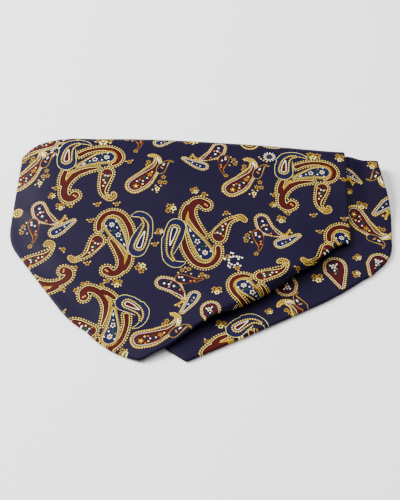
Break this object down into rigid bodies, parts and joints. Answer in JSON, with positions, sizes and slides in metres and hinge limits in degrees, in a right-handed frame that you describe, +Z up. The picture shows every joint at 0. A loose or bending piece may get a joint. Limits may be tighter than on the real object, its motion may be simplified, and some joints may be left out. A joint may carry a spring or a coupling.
{
  "type": "folded silk cravat",
  "caption": "Silk day cravat in navy paisley print, folded flat with its pointed blades stacked and turned over in a soft roll at the far edge.",
  "frame": {"origin": "middle of the overall box, on the surface that the folded cravat lies on", "axes": "+X to the right across the blades, +Y away from the blade points towards the rolled fold, +Z up out of the surface"},
  "size_m": [0.1768, 0.1282, 0.0147],
  "materials": {
    "printed_silk": "printed silk twill with a soft sheen"
  },
  "bodies": {
    "root": {"blade_front": "printed_silk", "blade_under": "printed_silk", "hidden_folds": "printed_silk"}
  },
  "joints": []
}
